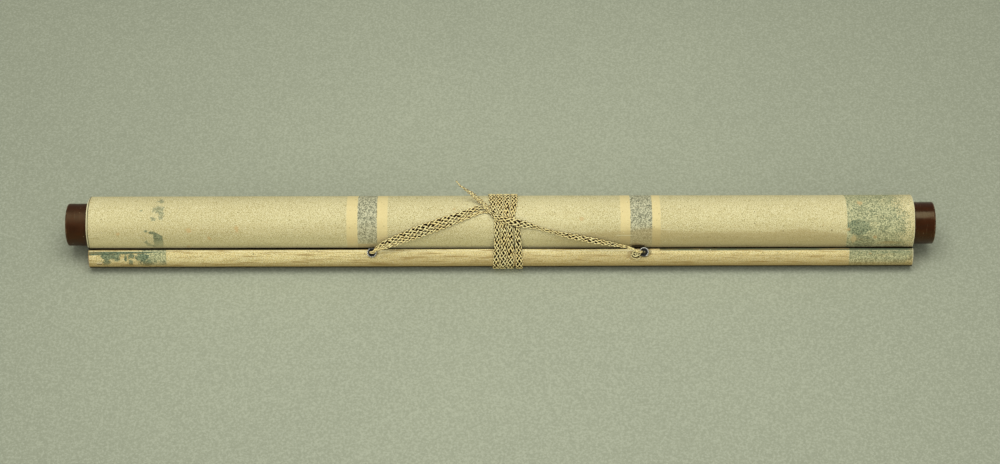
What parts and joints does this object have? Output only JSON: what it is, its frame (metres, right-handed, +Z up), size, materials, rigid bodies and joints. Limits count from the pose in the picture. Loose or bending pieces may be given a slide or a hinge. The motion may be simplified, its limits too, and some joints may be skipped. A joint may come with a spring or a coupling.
{
  "type": "paper scroll",
  "caption": "Rolled paper hanging scroll with turned wooden end knobs, a half-round top stave, ring eyes with washers, and a braided hanging cord and tie tape.",
  "frame": {"origin": "on the table that the scroll lies on, under the middle of the roller's axis", "axes": "+X along the roll to the right knob, -Y to the front where the top stave lies, +Z up"},
  "size_m": [0.574, 0.0466, 0.0514],
  "materials": {
    "mounting_paper": "aged cream mounting paper, matt, with worn silk strips",
    "bare_wood": "planed, unfinished",
    "lacquered_wood": "turned and lacquered dark red-brown, worn gloss",
    "plated_wire": "thin plating, dulled",
    "braid": "flat open braid of grey-green yarn"
  },
  "bodies": {
    "root": {"roller_core": "bare_wood", "knob_left": "lacquered_wood", "knob_right": "lacquered_wood", "paper_roll": "mounting_paper", "top_stave": "bare_wood", "eyelet_left": "plated_wire", "eyelet_right": "plated_wire", "washer_left": "plated_wire", "washer_right": "plated_wire", "hanging_cord": "braid", "tie_tape": "braid"}
  },
  "joints": []
}
